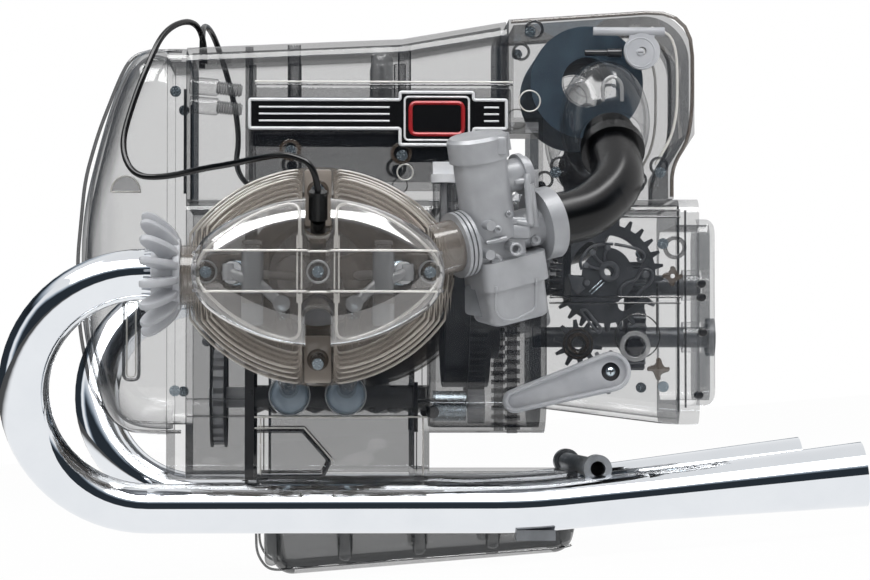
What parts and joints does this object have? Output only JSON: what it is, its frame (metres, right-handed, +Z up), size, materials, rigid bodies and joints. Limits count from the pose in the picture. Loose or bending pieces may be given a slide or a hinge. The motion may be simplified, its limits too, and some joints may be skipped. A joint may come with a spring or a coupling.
{
  "type": "four stroke engine model",
  "caption": "Clear moulded flat-twin motorcycle engine model with working crank, pistons, valves, gear lever, chromed exhausts and black intake ducts.",
  "frame": {"origin": "middle of the sump's flat bottom face, on which the model rests", "axes": "+X to the rear along the crankshaft, +Y to the engine's right-hand cylinder, +Z up"},
  "size_m": [0.3928, 0.35, 0.2738],
  "materials": {
    "smoked_clear": "smoked clear moulding",
    "clear": "clear moulding",
    "warm_clear": "warm smoked clear moulding",
    "sump_grey": "translucent grey moulding",
    "black_rubber": "gloss black",
    "gasket_black": "matt black",
    "silver_plastic": "matt silver paint",
    "chrome_plate": "mirror chrome",
    "light_grey": "matt light grey",
    "dark_grey": "matt dark grey",
    "white_plastic": "satin white",
    "filter_dark": "matt dark blue-grey",
    "badge_black": "gloss black with a bright border",
    "zinc_steel": "zinc-plated steel"
  },
  "bodies": {
    "engine_case": {"crankcase": "smoked_clear", "timing_chest": "smoked_clear", "front_cover": "clear", "top_cover": "smoked_clear", "gearbox_housing": "clear", "gearbox_rear_cover": "clear", "oil_sump": "sump_grey", "case_gasket": "gasket_black", "airbox": "smoked_clear", "air_filter": "filter_dark", "intake_hoods": "clear", "intake_ducts": "black_rubber", "carb_bodies": "silver_plastic", "float_bowls": "silver_plastic", "carb_caps": "silver_plastic", "intake_clamps": "silver_plastic", "cylinders": "warm_clear", "head_left": "warm_clear", "head_right": "warm_clear", "valve_covers": "clear", "exhaust_pipes": "chrome_plate", "exhaust_nuts": "light_grey", "crossover_pipe": "chrome_plate", "pushrod_tubes": "clear", "plug_boots": "black_rubber", "plug_lead_left": "black_rubber", "plug_lead_right": "black_rubber", "name_plates": "badge_black", "screws": "zinc_steel", "drive_motor": "zinc_steel", "timing_chain": "gasket_black"},
    "crank": {"crankshaft": "light_grey", "flywheel": "dark_grey"},
    "con_rod_left": {"con_rod_left": "light_grey"},
    "con_rod_right": {"con_rod_right": "light_grey"},
    "piston_left": {"piston_left": "light_grey"},
    "piston_right": {"piston_right": "light_grey"},
    "crank_dowel_left": {"crank_dowel_left": "zinc_steel"},
    "crank_dowel_right": {"crank_dowel_right": "zinc_steel"},
    "camshaft": {"camshaft": "white_plastic"},
    "intake_valve_left": {"intake_valve_left": "white_plastic"},
    "intake_valve_right": {"intake_valve_right": "white_plastic"},
    "intake_rocker_left": {"intake_rocker_left": "white_plastic"},
    "intake_rocker_right": {"intake_rocker_right": "white_plastic"},
    "intake_pushrod_left": {"intake_pushrod_left": "zinc_steel"},
    "intake_pushrod_right": {"intake_pushrod_right": "zinc_steel"},
    "exhaust_valve_left": {"exhaust_valve_left": "white_plastic"},
    "exhaust_valve_right": {"exhaust_valve_right": "white_plastic"},
    "exhaust_rocker_left": {"exhaust_rocker_left": "white_plastic"},
    "exhaust_rocker_right": {"exhaust_rocker_right": "white_plastic"},
    "exhaust_pushrod_left": {"exhaust_pushrod_left": "zinc_steel"},
    "exhaust_pushrod_right": {"exhaust_pushrod_right": "zinc_steel"},
    "input_shaft": {"input_shaft": "dark_grey"},
    "output_shaft": {"output_shaft": "zinc_steel"},
    "motor_pinion": {"motor_pinion": "white_plastic"},
    "shift_lever": {"shift_lever": "light_grey"},
    "selector_gear": {"selector_gear": "dark_grey"},
    "selector_plate": {"selector_plate": "dark_grey"},
    "choke_lever": {"choke_lever": "light_grey"},
    "dipstick": {"dipstick": "white_plastic"}
  },
  "joints": [
    {"name": "crank_spin", "type": "hinge", "parent": "engine_case", "child": "crank", "pos_m": [-0.03076, 0, 0.13727], "axis": [0.9968, 0, -0.0805], "continuous": true},
    {"name": "con_rod_left_pin", "type": "hinge", "parent": "crank", "child": "con_rod_left", "pos_m": [-0.03973, -0.01765, 0.13799], "axis": [0.9968, 0, -0.0805], "continuous": true},
    {"name": "crank_dowel_left_turn", "type": "hinge", "parent": "crank", "child": "crank_dowel_left", "pos_m": [-0.03076, -0.00882, 0.13727], "axis": [0.9968, 0, -0.0805], "continuous": true},
    {"name": "piston_left_stroke", "type": "hinge", "parent": "crank_dowel_left", "child": "piston_left", "pos_m": [-0.03973, -0.01765, 0.13799], "axis": [0.9968, 0, -0.0805], "continuous": true},
    {"name": "con_rod_right_pin", "type": "hinge", "parent": "crank", "child": "con_rod_right", "pos_m": [-0.02178, 0.01765, 0.13654], "axis": [0.9968, 0, -0.0805], "continuous": true},
    {"name": "crank_dowel_right_turn", "type": "hinge", "parent": "crank", "child": "crank_dowel_right", "pos_m": [-0.03076, 0.00882, 0.13727], "axis": [0.9968, 0, -0.0805], "continuous": true},
    {"name": "piston_right_stroke", "type": "hinge", "parent": "crank_dowel_right", "child": "piston_right", "pos_m": [-0.02178, 0.01765, 0.13654], "axis": [0.9968, 0, -0.0805], "continuous": true},
    {"name": "camshaft_spin", "type": "hinge", "parent": "engine_case", "child": "camshaft", "pos_m": [-0.03518, 0, 0.08245], "axis": [0.9968, 0, -0.0805], "continuous": true},
    {"name": "motor_pinion_spin", "type": "hinge", "parent": "engine_case", "child": "motor_pinion", "pos_m": [-0.03551, -0.02388, 0.07835], "axis": [0.9968, 0, -0.0805], "continuous": true},
    {"name": "input_shaft_spin", "type": "hinge", "parent": "engine_case", "child": "input_shaft", "pos_m": [-0.03076, 0, 0.13727], "axis": [0.9968, 0, -0.0805], "continuous": true},
    {"name": "output_shaft_spin", "type": "hinge", "parent": "engine_case", "child": "output_shaft", "pos_m": [-0.03281, 0, 0.11185], "axis": [0.9968, 0, -0.0805], "continuous": true},
    {"name": "intake_valve_left_lift", "type": "slide", "parent": "engine_case", "child": "intake_valve_left", "axis": [-0.5717, 0.8192, 0.0461], "range_m": [0, 0.003], "stiffness_N_per_m": 500, "springref_m": -0.002},
    {"name": "intake_rocker_left_tilt", "type": "hinge", "parent": "engine_case", "child": "intake_rocker_left", "pos_m": [-0.01082, -0.159, 0.13566], "axis": [0.0805, 0, 0.9968], "range_deg": [0, 10.1]},
    {"name": "intake_pushrod_left_rise", "type": "slide", "parent": "engine_case", "child": "intake_pushrod_left", "axis": [0, -1, 0], "range_m": [0, 0.0022]},
    {"name": "exhaust_valve_left_lift", "type": "slide", "parent": "engine_case", "child": "exhaust_valve_left", "axis": [0.5717, 0.8192, -0.0461], "range_m": [0, 0.003], "stiffness_N_per_m": 500, "springref_m": -0.002},
    {"name": "exhaust_rocker_left_tilt", "type": "hinge", "parent": "engine_case", "child": "exhaust_rocker_left", "pos_m": [-0.06863, -0.159, 0.14033], "axis": [-0.0805, 0, -0.9968], "range_deg": [0, 10.1]},
    {"name": "exhaust_pushrod_left_rise", "type": "slide", "parent": "engine_case", "child": "exhaust_pushrod_left", "axis": [0, -1, 0], "range_m": [0, 0.0022]},
    {"name": "intake_valve_right_lift", "type": "slide", "parent": "engine_case", "child": "intake_valve_right", "axis": [-0.5717, -0.8192, 0.0461], "range_m": [0, 0.003], "stiffness_N_per_m": 500, "springref_m": -0.002},
    {"name": "intake_rocker_right_tilt", "type": "hinge", "parent": "engine_case", "child": "intake_rocker_right", "pos_m": [0.00712, 0.159, 0.13421], "axis": [-0.0805, 0, -0.9968], "range_deg": [0, 10.1]},
    {"name": "intake_pushrod_right_rise", "type": "slide", "parent": "engine_case", "child": "intake_pushrod_right", "axis": [0, 1, 0], "range_m": [0, 0.0022]},
    {"name": "exhaust_valve_right_lift", "type": "slide", "parent": "engine_case", "child": "exhaust_valve_right", "axis": [0.5717, -0.8192, -0.0461], "range_m": [0, 0.003], "stiffness_N_per_m": 500, "springref_m": -0.002},
    {"name": "exhaust_rocker_right_tilt", "type": "hinge", "parent": "engine_case", "child": "exhaust_rocker_right", "pos_m": [-0.05069, 0.159, 0.13888], "axis": [0.0805, 0, 0.9968], "range_deg": [0, 10.1]},
    {"name": "exhaust_pushrod_right_rise", "type": "slide", "parent": "engine_case", "child": "exhaust_pushrod_right", "axis": [0, 1, 0], "range_m": [0, 0.0022]},
    {"name": "shift_lever_swing", "type": "hinge", "parent": "engine_case", "child": "shift_lever", "pos_m": [0.09387, -0.0646, 0.08407], "axis": [0, 1, 0], "range_deg": [-18, 18], "stiffness_Nm_per_rad": 0.08},
    {"name": "selector_gear_turn", "type": "hinge", "parent": "engine_case", "child": "selector_gear", "pos_m": [0.0815, -0.045, 0.09861], "axis": [0, 1, 0], "range_deg": [-17, 17]},
    {"name": "selector_plate_turn", "type": "hinge", "parent": "engine_case", "child": "selector_plate", "pos_m": [0.09754, -0.045, 0.13083], "axis": [0, 1, 0], "range_deg": [-7, 7]},
    {"name": "choke_lever_swing", "type": "hinge", "parent": "engine_case", "child": "choke_lever", "pos_m": [0.1228, -0.052, 0.23493], "axis": [0, 1, 0], "range_deg": [0, 40]},
    {"name": "dipstick_pull", "type": "slide", "parent": "engine_case", "child": "dipstick", "axis": [0.0805, 0, 0.9968], "range_m": [0, 0.03]}
  ],
  "couplings": [
    {"joint": "con_rod_left_pin", "follows": "crank_spin", "ratio": -1},
    {"joint": "crank_dowel_left_turn", "follows": "crank_spin", "ratio": -2},
    {"joint": "piston_left_stroke", "follows": "crank_spin", "ratio": 1},
    {"joint": "con_rod_right_pin", "follows": "crank_spin", "ratio": -1},
    {"joint": "crank_dowel_right_turn", "follows": "crank_spin", "ratio": -2},
    {"joint": "piston_right_stroke", "follows": "crank_spin", "ratio": 1},
    {"joint": "camshaft_spin", "follows": "crank_spin", "ratio": 0.5},
    {"joint": "motor_pinion_spin", "follows": "crank_spin", "ratio": -7.5},
    {"joint": "input_shaft_spin", "follows": "crank_spin", "ratio": 1},
    {"joint": "output_shaft_spin", "follows": "crank_spin", "ratio": -0.7},
    {"joint": "intake_rocker_left_tilt", "follows": "intake_valve_left_lift", "rad_per_m": 58.2},
    {"joint": "intake_pushrod_left_rise", "follows": "intake_valve_left_lift", "ratio": 0.7},
    {"joint": "exhaust_rocker_left_tilt", "follows": "exhaust_valve_left_lift", "rad_per_m": 58.2},
    {"joint": "exhaust_pushrod_left_rise", "follows": "exhaust_valve_left_lift", "ratio": 0.7},
    {"joint": "intake_rocker_right_tilt", "follows": "intake_valve_right_lift", "rad_per_m": 58.2},
    {"joint": "intake_pushrod_right_rise", "follows": "intake_valve_right_lift", "ratio": 0.7},
    {"joint": "exhaust_rocker_right_tilt", "follows": "exhaust_valve_right_lift", "rad_per_m": 58.2},
    {"joint": "exhaust_pushrod_right_rise", "follows": "exhaust_valve_right_lift", "ratio": 0.7},
    {"joint": "selector_gear_turn", "follows": "shift_lever_swing", "ratio": -0.9},
    {"joint": "selector_plate_turn", "follows": "shift_lever_swing", "ratio": 0.34615}
  ]
}
